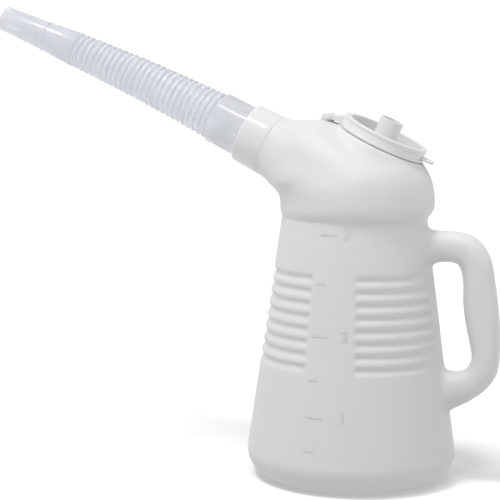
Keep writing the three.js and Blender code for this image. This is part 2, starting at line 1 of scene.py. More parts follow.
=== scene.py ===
# %% [markdown]
# # A natural plastic oil jug
# The jug is a blown polyethylene shell with a hollow handle, a hinged lid moulded in a glossier
# plastic and a see-through corrugated pouring hose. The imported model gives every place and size;
# this lesson rebuilds each visible piece with fine surfaces and gives it a finish.

# %% Load the model
import math

import bpy
import numpy as np
from mathutils import Matrix, Vector


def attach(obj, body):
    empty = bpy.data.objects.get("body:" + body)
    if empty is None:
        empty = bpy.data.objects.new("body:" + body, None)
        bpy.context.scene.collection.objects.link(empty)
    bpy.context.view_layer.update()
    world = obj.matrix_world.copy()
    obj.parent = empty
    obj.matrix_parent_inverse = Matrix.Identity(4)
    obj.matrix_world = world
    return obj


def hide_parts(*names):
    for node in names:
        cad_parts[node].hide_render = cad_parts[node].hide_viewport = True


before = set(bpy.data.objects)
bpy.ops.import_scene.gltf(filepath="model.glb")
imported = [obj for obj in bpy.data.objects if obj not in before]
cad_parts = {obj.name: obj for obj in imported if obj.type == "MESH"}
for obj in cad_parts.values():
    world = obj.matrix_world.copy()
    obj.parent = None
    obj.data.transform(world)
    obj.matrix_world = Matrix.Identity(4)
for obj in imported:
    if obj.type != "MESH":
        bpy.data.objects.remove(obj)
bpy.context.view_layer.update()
bpy.ops.object.select_all(action="DESELECT")
print("nodes", sorted(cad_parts))

# %% [markdown]
# The photograph was taken from a little above the lid's height, with a long lens, and the camera
# looks past the jug to the left. A real camera is described the same way: where it stands, how far
# it turns, how far it tips down, and its lens.

# %% Camera
CAMERA_AZIMUTH = 14.0
CAMERA_DISTANCE = 1.2
CAMERA_HEIGHT = 0.3185
CAMERA_TURN = 3.89
CAMERA_TIP = 6.68
CAMERA_ROLL = 0.45
FOCAL_PIXELS = 1537.0
FRAME_PIXELS = 500.0
SENSOR_WIDTH = 36.0


def place_camera():
    """Stand the camera where the photograph was taken."""
    data = bpy.data.cameras.new("camera")
    data.sensor_width = SENSOR_WIDTH
    data.lens = FOCAL_PIXELS * SENSOR_WIDTH / FRAME_PIXELS
    camera = bpy.data.objects.new("camera", data)
    bpy.context.collection.objects.link(camera)
    azimuth = math.radians(CAMERA_AZIMUTH)
    spot = Vector((math.sin(azimuth), -math.cos(azimuth), 0)) * CAMERA_DISTANCE
    spot.z = CAMERA_HEIGHT
    turn = Matrix.Rotation(math.radians(CAMERA_AZIMUTH + CAMERA_TURN), 4, "Z")
    tip = Matrix.Rotation(math.radians(90 - CAMERA_TIP), 4, "X")
    roll = Matrix.Rotation(math.radians(CAMERA_ROLL), 4, "Z")
    camera.matrix_world = Matrix.Translation(spot) @ turn @ tip @ roll
    bpy.context.scene.camera = camera
    return camera


camera = place_camera()
print("camera lens", round(camera.data.lens, 1), "mm")

# %% [markdown]
# ## Sizes
# Millimetres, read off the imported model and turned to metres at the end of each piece. The spout
# and the lid each have a frame of their own: a place and a slope in the plane of the handle.

# %% Sizes shared by the pieces
MM = 0.001
FOOT_RADIUS = 85.0
CONE_TAPER = 0.1384
CORNER_RADIUS = 21.5
CONE_TOP = 206.5
WALL = 1.8
SPOUT_SLOPE = 25.5
SPOUT_PLACE = (-68.9, 0.0, 259.5)
MOUTH_TILT = 25.0
MOUTH_PLACE = (25.0, 0.0, 272.0)
LID_RADIUS = 34.6
LID_HEIGHT = 9.8
SKIRT_ROOM = 0.9
MOUTH_BORE = 31.2
MOUTH_WALL = 1.7
NECK_RADIUS = 24.8
NECK_TUBE_RADIUS = 21.8
NECK_TUBE_LENGTH = 15.0
NECK_BORE = 19.1
MOUTH_DROP = LID_HEIGHT + SKIRT_ROOM
PIVOT = (-20.5, 0.0, 283.125)
PIN_EYE = 1.7

SPOUT_FRAME = (
    Matrix.Translation(SPOUT_PLACE) @ Matrix.Rotation(math.radians(SPOUT_SLOPE - 90), 4, "Y")
)
MOUTH_FRAME = (
    Matrix.Translation(MOUTH_PLACE) @ Matrix.Rotation(math.radians(MOUTH_TILT), 4, "Y")
)


def cone_radius(z):
    """Radius of the plain cone at a height."""
    return FOOT_RADIUS - CONE_TAPER * z


# %% [markdown]
# ## Tools for shaping
# A skin of rings stands for what a blown shell is: a tube whose section changes along its length.
# It starts as a grid primitive, whose rows become the rings. A turned piece starts as one corner
# that is extruded along its profile and spun once round, as on a lathe.

# %% Shaping helpers
EYE_LENGTH = 20.0


def finish_piece(piece, smooth_angle=40.0):
    """Turn millimetres into metres, merge seams and shade smoothly."""
    bpy.ops.object.select_all(action="DESELECT")
    piece.select_set(True)
    bpy.context.view_layer.objects.active = piece
    piece.data.transform(Matrix.Scale(MM, 4))
    bpy.ops.object.mode_set(mode="EDIT")
    bpy.ops.mesh.select_all(action="SELECT")
    bpy.ops.mesh.normals_make_consistent(inside=False)
    bpy.ops.mesh.select_all(action="DESELECT")
    bpy.ops.object.mode_set(mode="OBJECT")
    bpy.ops.object.shade_smooth_by_angle(angle=math.radians(smooth_angle))
    piece.select_set(False)
    print(piece.name, len(piece.data.polygons), "faces")
    return piece


def ring_skin(name, rings):
    """A closed skin over rings of equally many points, from a grid primitive."""
    rings = np.asarray(rings, dtype=float)
    rows, columns = rings.shape[:2]
    bpy.ops.mesh.primitive_grid_add(x_subdivisions=columns, y_subdivisions=rows - 1, size=1)
    piece = bpy.context.active_object
    piece.name = piece.data.name = name
    closed = np.concatenate([rings, rings[:, :1]], axis=1)
    piece.data.vertices.foreach_set("co", closed.reshape(-1))
    bpy.ops.object.mode_set(mode="EDIT")
    bpy.ops.mesh.select_all(action="SELECT")
    bpy.ops.mesh.remove_doubles(threshold=1e-4)
    bpy.ops.mesh.select_all(action="DESELECT")
    bpy.ops.mesh.select_mode(type="EDGE")
    bpy.ops.mesh.select_non_manifold(extend=False)
    bpy.ops.mesh.edge_face_add()
    bpy.ops.mesh.select_all(action="SELECT")
    bpy.ops.mesh.normals_make_consistent(inside=False)
    bpy.ops.object.mode_set(mode="OBJECT")
    return piece


def turned_piece(name, profile, steps, place):
    """A profile of radius and height, drawn by extruding one corner and spun round Z."""
    bpy.ops.mesh.primitive_plane_add(size=1)
    piece = bpy.context.active_object
    piece.name = piece.data.name = name
    first = Vector((profile[0][0], 0, profile[0][1]))
    bpy.ops.object.mode_set(mode="EDIT")
    bpy.ops.mesh.select_mode(type="VERT")
    bpy.ops.mesh.select_all(action="SELECT")
    bpy.ops.mesh.merge(type="CENTER")
    bpy.ops.transform.translate(value=first)
    last = first
    for radius, height in profile[1:]:
        corner = Vector((radius, 0, height))
        bpy.ops.mesh.extrude_region_move(TRANSFORM_OT_translate={"value": corner - last})
        last = corner
    bpy.ops.mesh.select_all(action="SELECT")
    bpy.ops.mesh.spin(steps=steps, angle=2 * math.pi, center=(0, 0, 0), axis=(0, 0, 1))
    bpy.ops.mesh.select_all(action="SELECT")
    bpy.ops.mesh.remove_doubles(threshold=1e-4)
    bpy.ops.mesh.normals_make_consistent(inside=False)
    bpy.ops.object.mode_set(mode="OBJECT")
    piece.data.transform(place)
    return piece


def apply_modifier(piece, kind, **settings):
    """Add one modifier with its settings and apply it."""
    bpy.ops.object.select_all(action="DESELECT")
    piece.select_set(True)
    bpy.context.view_layer.objects.active = piece
    modifier = piece.modifiers.new(kind.lower(), kind)
    for setting, value in settings.items():
        setattr(modifier, setting, value)
    bpy.ops.object.modifier_apply(modifier=modifier.name)


def combine(piece, other, operation):
    """Join or cut with another piece, which is used up."""
    apply_modifier(piece, "BOOLEAN", operation=operation, object=other, solver="EXACT")
    bpy.data.objects.remove(other)


def flat_plate(name, outline, low, high, place, bevel):
    """A plate from an outline in its own XZ plane, pulled along Y and bevelled."""
    bpy.ops.mesh.primitive_circle_add(vertices=len(outline), radius=1, fill_type="NGON")
    piece = bpy.context.active_object
    piece.name = piece.data.name = name
    for vertex, (px, pz) in zip(piece.data.vertices, outline):
        vertex.co = (px, low, pz)
    bpy.ops.object.mode_set(mode="EDIT")
    bpy.ops.mesh.select_all(action="SELECT")
    bpy.ops.mesh.extrude_region_move(TRANSFORM_OT_translate={"value": (0, high - low, 0)})
    bpy.ops.mesh.select_all(action="SELECT")
    bpy.ops.mesh.normals_make_consistent(inside=False)
    bpy.ops.object.mode_set(mode="OBJECT")
    apply_modifier(piece, "BEVEL", width=bevel, segments=3, limit_method="ANGLE")
    piece.data.transform(place)
    return piece


def cut_eye(piece):
    """Cut the hole that the hinge pin runs through."""
    bpy.ops.mesh.primitive_cylinder_add(vertices=32, radius=PIN_EYE, depth=EYE_LENGTH,
                                        location=PIVOT, rotation=(math.pi / 2, 0, 0))
    eye = bpy.context.active_object
    bpy.ops.object.transform_apply(location=True, rotation=True, scale=True)
    combine(piece, eye, "DIFFERENCE")


# %% [markdown]
# ## The blown shell
# The cone, its grooves and the crown are one skin. On the real jug a hose of soft plastic is blown
# into a mould, so every edge is rounded and the handle flows into the cone. The skin and the
# handle are joined, turned into one even mesh of small faces and relaxed where they meet.

# %% Shell sections
COLUMNS = 240
GROOVE_COUNT = 8
GROOVE_PITCH = 9.54
GROOVE_TOP = 162.8
GROOVE_HALF_WIDTH = 4.0
GROOVE_DEPTH = 2.0
STRIP_HALF_ANGLE = 14.5
STRIP_FADE = 2.5
HANDLE_HALF_ANGLE = 9.0
HANDLE_FADE = 6.0
SHOULDER_OVERHANG = 3.9
SHOULDER_RISE = 10.5
SHOULDER_OFFSET = 2.3
SHOULDER_STEP = [(-1.0, 0), (-0.35, 0.03), (0.1, 0.13), (0.6, 0.3), (1.4, 0.48), (2.4, 0.63),
                 (3.7, 0.77), (5.3, 0.88), (7.4, 0.96)]
CROWN_WIDTHS = (1, 0.99, 0.964, 0.918, 0.852, 0.762, 0.656)
NECK_WIDTHS = (1.375, 1.146, 1)
FLANK_PLACES = ((0.113, 0.376), (0.414, 0.736))
NAPE_PLACES = (0.516, 0.19)
THROAT_BULGE = 0.5
THROAT_RISE = 12.5

angles = np.radians(np.arange(COLUMNS) * 360.0 / COLUMNS - 180.0)


def smooth_step(value):
    """Ease from 0 to 1 with flat ends."""
    value = np.clip(value, 0, 1)
    return value * value * (3 - 2 * value)


def groove_mask(column_angles):
    """How deep the grooves are round the jug: none on the scale strip or by the handle."""
    degrees = np.degrees(column_angles)
    strip = (np.abs(degrees + 90) - STRIP_HALF_ANGLE) / STRIP_FADE
    grip = (np.abs(degrees) - HANDLE_HALF_ANGLE) / HANDLE_FADE
    return smooth_step(strip) * smooth_step(grip)


def groove_depth(z):
    """Depth of the grooves at a height, a row of rounded troughs."""
    depth = 0.0
    for i in range(GROOVE_COUNT):
        away = abs(z - (GROOVE_TOP - i * GROOVE_PITCH)) / GROOVE_HALF_WIDTH
        if away < 1:
            depth += GROOVE_DEPTH * (0.5 + 0.5 * math.cos(math.pi * away)) ** 0.8
    return depth


def level_ring(z, radius, column_angles, depth=0.0):
    """One level ring of the cone."""
    reach = radius - depth * groove_mask(column_angles)
    return np.stack([reach * np.cos(column_angles), reach * np.sin(column_angles),
                     np.full(len(column_angles), z)], axis=1)


def slant_ring(low, high, half_width, fullness, inset, column_angles):
    """One slanted ring between a throat point and a crown point in the plane of the handle."""
    low = np.array([low[0], 0, low[1]])
    high = np.array([high[0], 0, high[1]])
    half = np.linalg.norm(high - low) / 2 - inset
    reach = (high - low) / np.linalg.norm(high - low)
    across = np.array([0, 1.0, 0])
    cos, sin = np.cos(column_angles), np.sin(column_angles)
    along = np.sign(cos) * np.abs(cos) ** (2 / fullness)
    aside = np.sign(sin) * np.abs(sin) ** (2 / fullness)
    return ((low + high) / 2 + half * along[:, None] * reach
            + (half_width - inset) * aside[:, None] * across)


def spout_point(along, aside):
    """A point by the spout's axis in the plane of the handle."""
    point = SPOUT_FRAME @ Vector((aside, 0, along))
    return point.x, point.z


def mouth_point(along, drop):
    """A point by the mouth's rim plane in the plane of the handle."""
    point = MOUTH_FRAME @ Vector((along, 0, -drop))
    return point.x, point.z


def between(first, second, inward, upward):
    """A point at a share of the way across and a share of the way up."""
    return (first[0] + (second[0] - first[0]) * inward,
            first[1] + (second[1] - first[1]) * upward)


def crown_rings(inset, column_angles):
    """The few slanted rings that shape the crown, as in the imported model."""
    shoulder = cone_radius(CONE_TOP) + SHOULDER_OVERHANG
    brim = CONE_TOP + SHOULDER_RISE
    left, right = (SHOULDER_OFFSET - shoulder, brim), (SHOULDER_OFFSET + shoulder, brim)
    nape = (PIVOT[0] - 2, mouth_point(-LID_RADIUS, MOUTH_DROP)[1] + 3)
    neck_top, neck_low = spout_point(0, NECK_RADIUS), spout_point(0, -NECK_RADIUS)
    neck_back = (neck_top[0], nape[1])
    flank = mouth_point(LID_RADIUS * 0.91, MOUTH_DROP)
    bend = (left[0] - THROAT_BULGE, brim + THROAT_RISE)

    def throat(share):
        keep = 1 - share
        return [keep * keep * left[k] + 2 * keep * share * bend[k] + share * share * neck_low[k]
                for k in (0, 1)]

    wide = [share * shoulder for share in CROWN_WIDTHS]
    slim = [share * NECK_RADIUS for share in NECK_WIDTHS]
    sections = [
        (throat(0), right, wide[0], 2.0),
        (throat(0.16), between(right, flank, *FLANK_PLACES[0]), wide[1], 2.05),
        (throat(0.28), between(right, flank, *FLANK_PLACES[1]), wide[2], 2.15),
        (throat(0.4), flank, wide[3], 2.3),
        (throat(0.5), mouth_point(LID_RADIUS * 0.2, MOUTH_DROP), wide[4], 2.5),
        (throat(0.6), mouth_point(-LID_RADIUS * 0.6, MOUTH_DROP), wide[5], 2.5),
        (throat(0.7), nape, wide[6], 2.4),
        (throat(0.8), between(neck_back, nape, NAPE_PLACES[0], 0), slim[0], 2.2),
        (throat(0.9), between(neck_back, nape, NAPE_PLACES[1], 0), slim[1], 2.05),
        (neck_low, neck_top, slim[2], 2.0),
    ]
    return [slant_ring(low, high, width, full, inset, column_angles)
            for low, high, width, full in sections]


def ease_rings(rings, steps):
    """Rings between the given ones, on a smooth curve through every column."""
    rings = np.asarray(rings)
    padded = np.concatenate([2 * rings[:1] - rings[1:2], rings, 2 * rings[-1:] - rings[-2:-1]])
    result = []
    for i in range(len(rings) - 1):
        a, b, c, d = padded[i:i + 4]
        for k in range(steps):
            t = k / steps
            result.append(0.5 * (2 * b + (c - a) * t + (2 * a - 5 * b + 4 * c - d) * t * t
                                 + (3 * b - a - 3 * c + d) * t ** 3))
    result.append(rings[-1])
    return result


def shell_rings(inset, column_angles, fine):
    """All rings of the shell from the foot to the neck, drawn in by the wall if inside."""
    rings = []
    floor = inset * 1.2
    round_radius = CORNER_RADIUS - inset
    corner = cone_radius(CORNER_RADIUS) - inset
    for i in range(15):
        turn = math.radians(90 * i / 14)
        rings.append(level_ring(floor + round_radius * (1 - math.cos(turn)),
                                corner - round_radius * (1 - math.sin(turn)), column_angles))
    heights = list(np.linspace(CORNER_RADIUS + floor + 2, GROOVE_TOP - 7.6 * GROOVE_PITCH, 12))
    heights += list(np.arange(heights[-1] + fine, GROOVE_TOP + GROOVE_HALF_WIDTH + 2, fine))
    heights += list(np.linspace(heights[-1] + 3, CONE_TOP - 4, 9))
    for z in heights:
        rings.append(level_ring(z, cone_radius(z) - inset, column_angles, groove_depth(z)))
    for rise, share in SHOULDER_STEP:
        radius = cone_radius(CONE_TOP) + share * SHOULDER_OVERHANG - inset
        ring = level_ring(CONE_TOP + rise, radius, column_angles)
        ring[:, 0] += share * SHOULDER_OFFSET
        rings.append(ring)
    rings += ease_rings(crown_rings(inset, column_angles), 8)
    return rings


def spout_ring(along, radius, column_angles):
    """A round ring on the spout's axis."""
    low, high = spout_point(along, -radius), spout_point(along, radius)
    return slant_ring(low, high, radius, 2, 0, column_angles)


# %% [markdown]
# The handle is a tube whose rounded oblong rings stand square to its middle line. Each place on
# that line has its distance from the axis, its height and half the handle's depth there.

# %% Handle
HANDLE_HALF_WIDTH = 12.5
HANDLE_FULLNESS = 2.3
HANDLE_PLACES = [
    (44, 183, 16.5), (64.1, 184.4, 13), (77.1, 185, 12), (88.7, 182.3, 12.2),
    (96, 173, 12), (99.1, 159, 12), (100.5, 144, 13.1), (102.4, 129, 12.9),
    (104.5, 114, 11.7), (105.6, 102, 10.6), (104.2, 92, 11), (99.2, 83.6, 11),
    (91.5, 78, 11.8), (82.5, 74.5, 14.4), (64, 70, 19),
]


def handle_rings(inset, sides):
    """Rings along the handle, from places on its middle line."""
    places = np.array(ease_rings(np.array(HANDLE_PLACES, dtype=float)[:, None, :], 6))[:, 0]
    tangents = np.gradient(places[:, :2], axis=0)
    tangents /= np.linalg.norm(tangents, axis=1)[:, None]
    turn = np.arange(sides) * 2 * math.pi / sides
    along = np.sign(np.cos(turn)) * np.abs(np.cos(turn)) ** (2 / HANDLE_FULLNESS)
    aside = np.sign(np.sin(turn)) * np.abs(np.sin(turn)) ** (2 / HANDLE_FULLNESS)
    rings = []
    for (x, z, half), (tx, tz) in zip(places, tangents):
        reach = (half - inset) * along
        rings.append(np.stack([x - tz * reach, (HANDLE_HALF_WIDTH - inset) * aside,
                               z + tx * reach], axis=1))
    return rings


# %% [markdown]
# The mouth's boss and ring are turned round the mouth's own axis, and the lug is a small plate
# with a hole. The outside is joined first and turned into one even mesh, which is relaxed where
# the handle and the boss meet the rest. Each pair of distances says how far from such a joint the
# relaxing is full, and where it has faded out.

# %% Shell
SHELL_VOXEL = 1.3
NECK_SPARE = 5.0
LUG_RADIUS = 2.7
LUG_HALF_WIDTH = 2.5
RELAX_ROUNDS = 3
RELAX_STRENGTH = 0.6
RELAX_PASSES = 22
HANDLE_ROOTS = [(184.5, 14.4, 38.4), (74.0, 16.32, 43.52)]
HANDLE_SIDE = 30.0
ROOT_DEPTH = (9.286, 18.572)
ROOT_WIDTH = (22.0, 34.0)
BOSS_RADIUS = LID_RADIUS + 6
BOSS_WIDTH = (2.7, 11.7)
BOSS_HEIGHTS = (-MOUTH_DROP - 26, -MOUTH_DROP - 1.5)


def mouth_boss():
    """Boss under the mouth and the ring that the lid closes on."""
    ring = MOUTH_BORE + MOUTH_WALL
    foot = -MOUTH_DROP
    return turned_piece("mouth_boss", [
        (0, foot - 14), (LID_RADIUS + 9.5, foot - 14), (LID_RADIUS + 5.4, foot - 7),
        (LID_RADIUS + 2.9, foot - 1.8), (LID_RADIUS + 2.0, foot - 0.2),
        (LID_RADIUS + 1.0, foot + 0.4), (ring - 1, foot + 0.45), (0, foot + 0.45),
    ], 96, MOUTH_FRAME)


def mouth_ring():
    """The ring itself, kept crisp, so it is joined after the even mesh is made."""
    ring = MOUTH_BORE + MOUTH_WALL
    root = -MOUTH_DROP - 3
    return turned_piece("mouth_ring", [
        (MOUTH_BORE, root), (ring, root), (ring, -2.5), (ring - 0.5, -1.9),
        (MOUTH_BORE + 0.5, -1.9), (MOUTH_BORE, -2.5), (MOUTH_BORE, root),
    ], 96, MOUTH_FRAME)


def lug():
    """The hinge lug: a plate with a rounded back and an eye for the pin."""
    x, _, z = PIVOT
    outline = [(x + LUG_RADIUS * math.sin(t), z + LUG_RADIUS * math.cos(t))
               for t in np.radians(np.arange(90, -1, -15))]
    outline += [(x - 1.2, z + 1.8), (x - 2.4, z + 2.5), (x - 4.6, z + 2.5), (x - 6, z + 1.8),
                (x - 6.8, z + 0.4), (x - 8, z - 4.7), (x + LUG_RADIUS, z - 4.7)]
    piece = flat_plate("lug", outline, -LUG_HALF_WIDTH, LUG_HALF_WIDTH, Matrix.Identity(4), 0.45)
    cut_eye(piece)
    return piece


def fade(distance, full, none):
    """One up to the full distance, then evenly down to zero."""
    return np.clip((none - distance) / (none - full), 0, 1)


def relax_joints(piece):
    """Round the corners where the handle meets the cone and the boss meets the crown."""
    mesh = piece.data
    coords = np.empty(len(mesh.vertices) * 3)
    mesh.vertices.foreach_get("co", coords)
    coords = coords.reshape(-1, 3)
    x, y, z = coords.T
    off_cone = np.abs(np.hypot(x, y) - cone_radius(z))
    roots = np.max([fade(np.abs(z - level), full, none) for level, full, none in HANDLE_ROOTS],
                   axis=0)
    roots *= fade(off_cone, *ROOT_DEPTH) * fade(np.abs(y), *ROOT_WIDTH) * (x > HANDLE_SIDE)
    normal = np.array(MOUTH_FRAME.to_3x3() @ Vector((0, 0, 1)))
    from_mouth = coords - np.array(MOUTH_PLACE)
    height = from_mouth @ normal
    out = np.linalg.norm(from_mouth - height[:, None] * normal, axis=1)
    low, high = BOSS_HEIGHTS
    boss = fade(np.abs(out - BOSS_RADIUS), *BOSS_WIDTH) * (height > low) * (height < high)
    weight = np.maximum(roots, boss)
    group = piece.vertex_groups.new(name="joints")
    for i in np.nonzero(weight > 0.02)[0]:
        group.add([int(i)], float(weight[i]), "REPLACE")
    for _ in range(RELAX_ROUNDS):
        apply_modifier(piece, "SMOOTH", factor=RELAX_STRENGTH, iterations=RELAX_PASSES,
                       vertex_group="joints")


def make_shell():
    """The whole shell, outside first, then the hollow."""
    rings = shell_rings(0, angles, 0.8) + [spout_ring(NECK_SPARE, NECK_RADIUS, angles)]
    outside = ring_skin("jug_shell", rings)
    combine(outside, ring_skin("handle", handle_rings(0, 64)), "UNION")
    combine(outside, mouth_boss(), "UNION")
    apply_modifier(outside, "REMESH", mode="VOXEL", voxel_size=SHELL_VOXEL, use_smooth_shade=True)
    relax_joints(outside)
    spare = turned_piece("spare", [(0, 0.02), (NECK_RADIUS + 6, 0.02),
                                   (NECK_RADIUS + 6, NECK_SPARE + 6), (0, NECK_SPARE + 6)],
                         96, SPOUT_FRAME)
    combine(outside, spare, "DIFFERENCE")
    return outside


shell = make_shell()
print("outside", len(shell.data.polygons))

# %% [markdown]
# The neck's end goes on while all is solid. The space inside is then cut as one body: the skin and
# the handle drawn in by the wall, and the bores of neck and mouth. The mouth's ring and the lug
# come last, so that they stay crisp.

# %% Hollow
def add_neck(piece):
    """The neck's plain end, which the collar hides, solid until the bore is cut."""
    end = turned_piece("neck_end", [
        (0, -2), (NECK_TUBE_RADIUS, -2), (NECK_TUBE_RADIUS, NECK_TUBE_LENGTH),
        (0, NECK_TUBE_LENGTH),
    ], 96, SPOUT_FRAME)
    combine(piece, end, "UNION")


def cut_hollow(piece):
    """Cut the space inside: cone, crown, handle, neck and mouth."""
    coarse = np.radians(np.arange(120) * 3.0 - 180.0)
    rings = shell_rings(WALL, coarse, 1.6)[:-1]
    rings += [spout_ring(along, NECK_BORE, coarse) for along in (-WALL, NECK_TUBE_LENGTH + 5)]
    inside = ring_skin("inside", rings)
    combine(inside, ring_skin("handle_inside", handle_rings(WALL, 24)), "UNION")
    foot = -MOUTH_DROP
    bore = turned_piece("mouth_bore", [
        (0, foot - 16), (LID_RADIUS + 3, foot - 14), (LID_RADIUS - 1.5, foot - 4),
        (MOUTH_BORE, foot - 1), (MOUTH_BORE, 5), (0, 5),
    ], 96, MOUTH_FRAME)
    combine(inside, bore, "UNION")
    combine(piece, inside, "DIFFERENCE")


add_neck(shell)
cut_hollow(shell)
combine(shell, mouth_ring(), "UNION")
combine(shell, lug(), "UNION")
finish_piece(shell, 50)
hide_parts("jug_body")
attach(shell, "jug")

# %% [markdown]
# ## The scale
# Low bars and figures stand a hair proud of the plain strip, with their roots in the wall. They
# are modelled flat and then wrapped on the cone, so they follow it as moulded marks do.

# %% Scale marks
MARK_HEIGHT = 1.1
MARK_RELIEF = 0.14
MARK_ROOT = 0.6
MARK_ROUND = 0.12
MARK_STEP = 1.5
SHORT_MARK = 7.5
LONG_MARK = 13.5
MARK_START = -STRIP_HALF_ANGLE + 2
HALF_LITRES = (34.7, 87.5, 159.0)
LITRES = (59.8, 120.3, 196.0)
FIGURE_SIZE = 11.475
FIGURE_ANGLE = 9.0
FIGURE_DROP = 2.5


def wrap_on_cone(piece):
    """Take flat X, height Z and depth Y round the front of the cone."""
    for vertex in piece.data.vertices:
        across, out, z = vertex.co.x, -vertex.co.y, vertex.co.z
        angle = -math.pi / 2 + across / cone_radius(z)
        radius = cone_radius(z) + out
        vertex.co = (radius * math.cos(angle), radius * math.sin(angle), z)


def flat_bar(z, length):
    """One bar with bevelled edges, cut into short steps so that it can bend."""
    bpy.ops.mesh.primitive_cube_add(size=1)
    bar = bpy.context.active_object
    start = math.radians(MARK_START) * cone_radius(z)
    depth = MARK_RELIEF + MARK_ROOT
    bar.data.transform(Matrix.Translation((start + length / 2, (MARK_ROOT - MARK_RELIEF) / 2, z))
                       @ Matrix.Diagonal((length, depth, MARK_HEIGHT, 1)))
    apply_modifier(bar, "BEVEL", width=MARK_ROUND, segments=2)
    bpy.ops.object.mode_set(mode="EDIT")
    for step in range(1, int(length / MARK_STEP)):
        bpy.ops.mesh.select_all(action="SELECT")
        bpy.ops.mesh.bisect(plane_co=(start + step * MARK_STEP, 0, 0), plane_no=(1, 0, 0))
    bpy.ops.object.mode_set(mode="OBJECT")
    return bar


def flat_figure(text, z):
    """A raised figure beside its mark."""
    bpy.ops.object.text_add()
    letter = bpy.context.active_object
    letter.data.body = text
    letter.data.size = FIGURE_SIZE
    letter.data.align_x = "CENTER"
    letter.data.extrude = (MARK_RELIEF + MARK_ROOT) / 2
    letter.data.bevel_depth = MARK_ROUND
    letter.data.resolution_u = 6
    bpy.ops.object.convert(target="MESH")
    letter = bpy.context.active_object
    place = math.radians(FIGURE_ANGLE) * cone_radius(z)
    middle = (MARK_ROOT - MARK_RELIEF) / 2
    letter.data.transform(Matrix.Translation((place, middle, z - FIGURE_DROP))
                          @ Matrix.Rotation(math.pi / 2, 4, "X"))
    return letter


def make_marks():
    """All bars and figures as one piece on the cone."""
    parts = [flat_bar(z, SHORT_MARK) for z in HALF_LITRES]
    parts += [flat_bar(z, LONG_MARK) for z in LITRES]
    parts += [flat_figure(str(i + 1), z) for i, z in enumerate(LITRES)]
    bpy.ops.object.select_all(action="DESELECT")
    for part in parts:
        part.select_set(True)
    bpy.context.view_layer.objects.active = parts[0]
    bpy.ops.object.join()
    marks = parts[0]
    marks.name = marks.data.name = "scale_marks"
    wrap_on_cone(marks)
    return finish_piece(marks, 35)


marks = make_marks()
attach(marks, "jug")

# %% [markdown]
# ## Collar and hose
# Both are turned about the spout's axis. The collar grips the neck's plain end and the hose's
# flange, so it takes its bores from them with a gap to fit.

# %% Collar
COLLAR_START = 0.15
COLLAR_LENGTH = 23.0
COLLAR_FRONT = 24.2
FIT_GAP = 0.3
FLANGE_START = 17.1
FLANGE_END = 19.1
CUFF_RADIUS = 20.8


def arc(centre, radius, first, last, steps):
    """Points on a round corner of a profile, angles in degrees."""
    turn = [math.radians(first + (last - first) * i / steps) for i in range(steps + 1)]
    return [(centre[0] + radius * math.cos(t), centre[1] + radius * math.sin(t)) for t in turn]


def make_collar():
    """Collar with a rounded front edge."""
    lip = CUFF_RADIUS + FIT_GAP
    bore = NECK_TUBE_RADIUS + FIT_GAP
    profile = [(bore, COLLAR_START), (NECK_RADIUS - 0.25, COLLAR_START)]
    profile += arc((NECK_RADIUS - 0.25, COLLAR_START + 0.25), 0.25, -90, 0, 4)[1:]
    profile += [(NECK_RADIUS - 0.3, 10)]
    profile += arc((COLLAR_FRONT - 2.7, COLLAR_LENGTH - 2.7), 2.7, 0, 90, 9)
    profile += [(lip, COLLAR_LENGTH), (lip, FLANGE_END + FIT_GAP), (bore, FLANGE_END + FIT_GAP),
                (bore, COLLAR_START)]
    return finish_piece(turned_piece("collar", profile, 120, SPOUT_FRAME))


collar = make_collar()
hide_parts("spout_collar")
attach(collar, "jug")

# %% [markdown]
# The hose has the same wave inside as outside, because a bellows is one thin wall; its crests are
# round and its valleys narrower. It is turned straight and then bent, as its own weight bends it.

# %% Hose
HOSE_WALL = 1.2
CUFF_LENGTH = 27.5
BELLOWS_COUNT = 26
BELLOWS_PITCH = 4.98
BELLOWS_START_RADIUS = 19.5
BELLOWS_END_RADIUS = 14.3
BELLOWS_DEPTH = 2.1
HOSE_DROOP = 4.0
TAPER_LENGTH = 32.0
TAPER_END_RADIUS = 11.9
RING_RADIUS = 12.6
RING_LENGTH = 2.0
TIP_LENGTH = 40.5
TIP_RADIUS = 10.0
WAVE_STEPS = 10


def bellows_wave(inset):
    """The rounded crests and narrow valleys of the bellows."""
    start = COLLAR_LENGTH + CUFF_LENGTH
    points = []
    for step in range(BELLOWS_COUNT * WAVE_STEPS + 1):
        share = step / (BELLOWS_COUNT * WAVE_STEPS)
        crest = BELLOWS_START_RADIUS + (BELLOWS_END_RADIUS - BELLOWS_START_RADIUS) * share
        wave = abs(math.sin(math.pi * step / WAVE_STEPS)) ** 0.75
        height = start + share * BELLOWS_COUNT * BELLOWS_PITCH
        points.append((crest - BELLOWS_DEPTH * (1 - wave) - inset, height))
    return points


def droop(piece):
    """Bend the straight hose: the bellows sink in an even curve, the tip runs on straight."""
    start, length = COLLAR_LENGTH + CUFF_LENGTH, BELLOWS_COUNT * BELLOWS_PITCH
    bend = math.radians(HOSE_DROOP)
    radius = length / bend
    for vertex in piece.data.vertices:
        x, _, z = vertex.co
        turn = min(max((z - start) / radius, 0), bend)
        rest = z - start - turn * radius
        vertex.co.x = (radius + x) * math.cos(turn) - radius - rest * math.sin(turn)
        vertex.co.z = (radius + x) * math.sin(turn) + start + rest * math.cos(turn)


